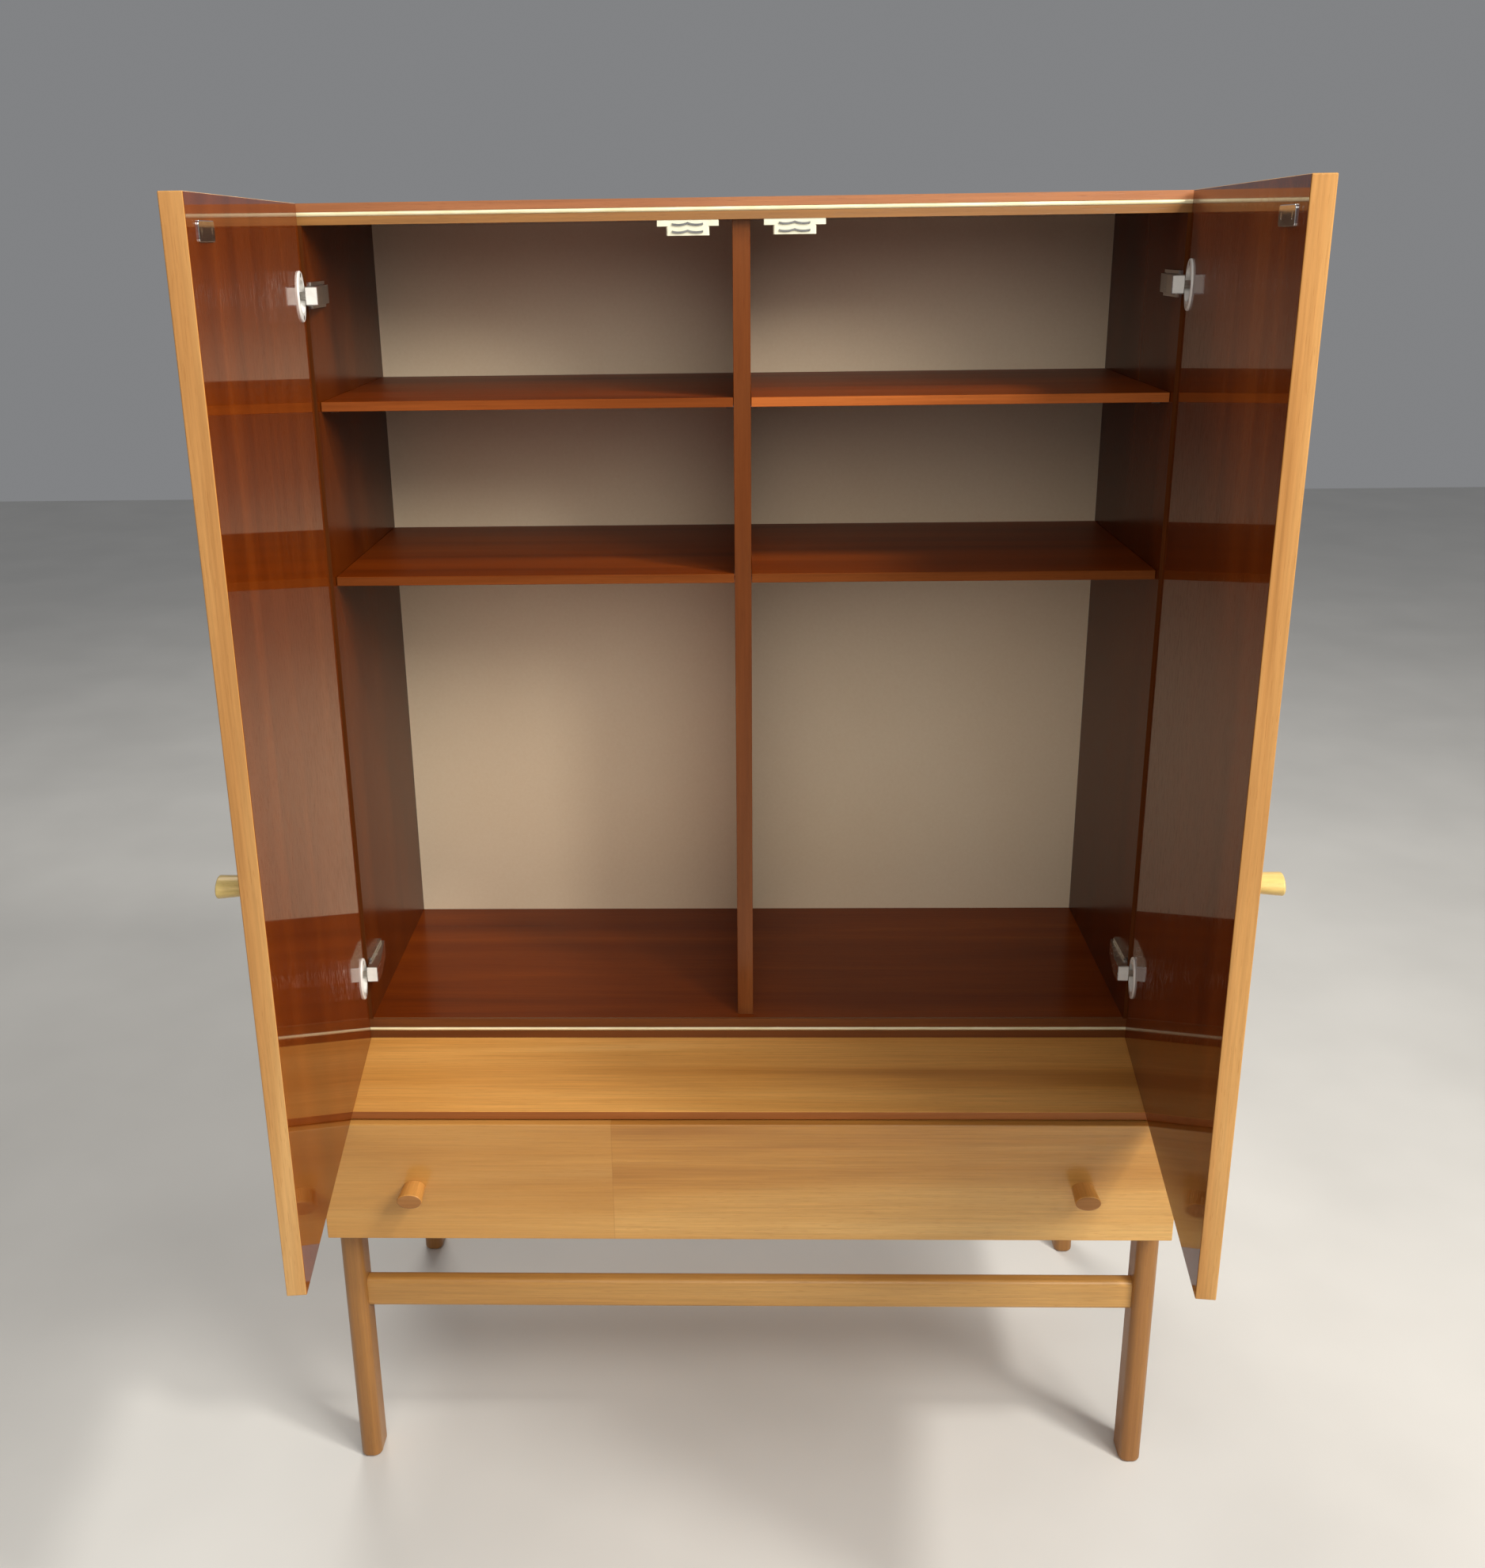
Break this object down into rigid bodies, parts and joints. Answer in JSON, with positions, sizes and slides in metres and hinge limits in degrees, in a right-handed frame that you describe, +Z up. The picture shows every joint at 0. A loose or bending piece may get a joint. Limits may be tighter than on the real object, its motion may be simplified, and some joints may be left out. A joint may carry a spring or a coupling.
{
  "type": "two-door linen wardrobe",
  "caption": "Free-standing storage cupboard with hinged overlay doors and inner shelves, on a deeper drawer base carried by a leg frame.",
  "frame": {"origin": "floor centre of the whole outline with both doors standing open, midway between the door edges and the wall side", "axes": "+X right as seen from the front, +Y towards the wall, +Z up"},
  "size_m": [0.938, 0.7755, 1.44],
  "materials": {
    "golden_veneer": "satin lacquered light golden veneer",
    "mahogany_gloss": "high-gloss red-brown lacquered veneer",
    "lipping_red": "satin reddish lipping",
    "lipping_gold": "satin golden-brown lipping",
    "lipping_dark": "satin dark red-brown lipping",
    "lipping_olive": "satin olive-brown lipping",
    "bead_cream": "satin cream bead",
    "back_board": "satin pale warm grey panel",
    "plain_wood": "plain waxed wood",
    "knob_wood": "satin light yellow wood",
    "white_plastic": "smooth off-white moulding",
    "catch_plastic": "smooth cream moulding",
    "bright_metal": "nickel plated",
    "plain_steel": "zinc plated steel"
  },
  "bodies": {
    "cabinet": {"case_bottom": "mahogany_gloss", "divider": "mahogany_gloss", "shelf_right_lower": "mahogany_gloss", "shelf_left_lower": "mahogany_gloss", "shelf_right_upper": "mahogany_gloss", "shelf_left_upper": "mahogany_gloss", "case_top": "golden_veneer", "case_side_right": "golden_veneer", "case_side_left": "golden_veneer", "base_top": "golden_veneer", "base_side_right": "golden_veneer", "base_side_left": "golden_veneer", "leg_front_right": "golden_veneer", "leg_front_left": "golden_veneer", "leg_back_right": "golden_veneer", "leg_back_left": "golden_veneer", "rail_front": "golden_veneer", "rail_back": "golden_veneer", "rail_right": "golden_veneer", "rail_left": "golden_veneer", "back_panel": "back_board", "top_lipping_inner": "lipping_gold", "top_lipping_outer": "lipping_red", "bottom_lipping_inner": "lipping_olive", "bottom_lipping_outer": "lipping_dark", "top_lipping_bead": "bead_cream", "bottom_lipping_bead": "bead_cream", "catch_right": "catch_plastic", "catch_left": "catch_plastic", "catch_poles": "plain_steel", "hinge_arms_right": "bright_metal", "hinge_arms_left": "bright_metal", "hinge_plates": "bright_metal", "case_screws": "bright_metal", "shelf_pins": "plain_steel", "frame_screws": "plain_steel", "hinge_blocks": "white_plastic", "base_floor": "plain_wood", "base_back": "plain_wood", "base_stretcher": "plain_wood", "drawer_runners": "plain_wood"},
    "left_door": {"door_left": "golden_veneer", "door_knob_left": "knob_wood", "hinge_cups_left": "white_plastic", "hinge_pins_left": "plain_steel", "strike_left": "bright_metal", "door_screws_left": "bright_metal"},
    "right_door": {"door_right": "golden_veneer", "door_knob_right": "knob_wood", "hinge_cups_right": "white_plastic", "hinge_pins_right": "plain_steel", "strike_right": "bright_metal", "door_screws_right": "bright_metal"},
    "drawer": {"drawer_front": "golden_veneer", "drawer_side_right": "plain_wood", "drawer_side_left": "plain_wood", "drawer_back": "plain_wood", "drawer_floor": "plain_wood", "drawer_knob_right": "knob_wood", "drawer_knob_left": "knob_wood"}
  },
  "joints": [
    {"name": "left_door_hinge", "type": "hinge", "parent": "cabinet", "child": "left_door", "pos_m": [-0.4535, 0.0628, 0.97075], "axis": [0, 0, -1], "range_deg": [-84, 11]},
    {"name": "right_door_hinge", "type": "hinge", "parent": "cabinet", "child": "right_door", "pos_m": [0.4535, 0.0628, 0.97075], "axis": [0, 0, 1], "range_deg": [-84, 11]},
    {"name": "drawer_slide", "type": "slide", "parent": "cabinet", "child": "drawer", "axis": [0, -1, 0], "range_m": [0, 0.3]}
  ]
}
